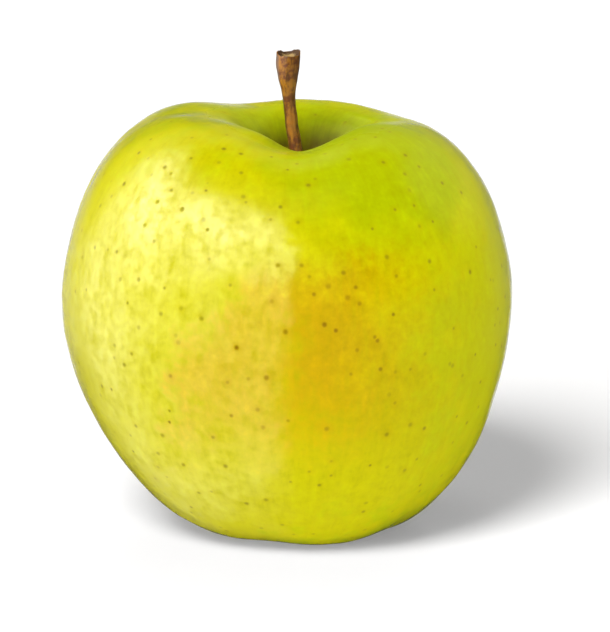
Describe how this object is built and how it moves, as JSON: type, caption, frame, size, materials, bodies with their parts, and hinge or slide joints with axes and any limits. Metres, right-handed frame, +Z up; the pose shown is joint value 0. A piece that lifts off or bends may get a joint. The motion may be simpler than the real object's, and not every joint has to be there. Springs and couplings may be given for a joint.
{
  "type": "whole apple",
  "caption": "Whole yellow-green apple, softly lobed and narrower at its base, with a bent woody stalk in the hollow at its top and a dried calyx in its basin.",
  "frame": {"origin": "on the ground, under the middle of the apple as seen from above", "axes": "+Z up along the core towards the stalk, -Y towards the cheek with the golden blush, +X to the right of someone who faces that cheek"},
  "size_m": [0.0751, 0.0751, 0.0802],
  "materials": {
    "apple_skin": "waxy satin gloss, yellow-green with a golden blush and small brown dots",
    "stalk_bark": "matt brown bark, ridged along its length, torn pale wood at the end",
    "dried_sepals": "matt, dry and papery"
  },
  "bodies": {
    "root": {"fruit": "apple_skin", "stalk": "stalk_bark", "calyx": "dried_sepals"}
  },
  "joints": []
}
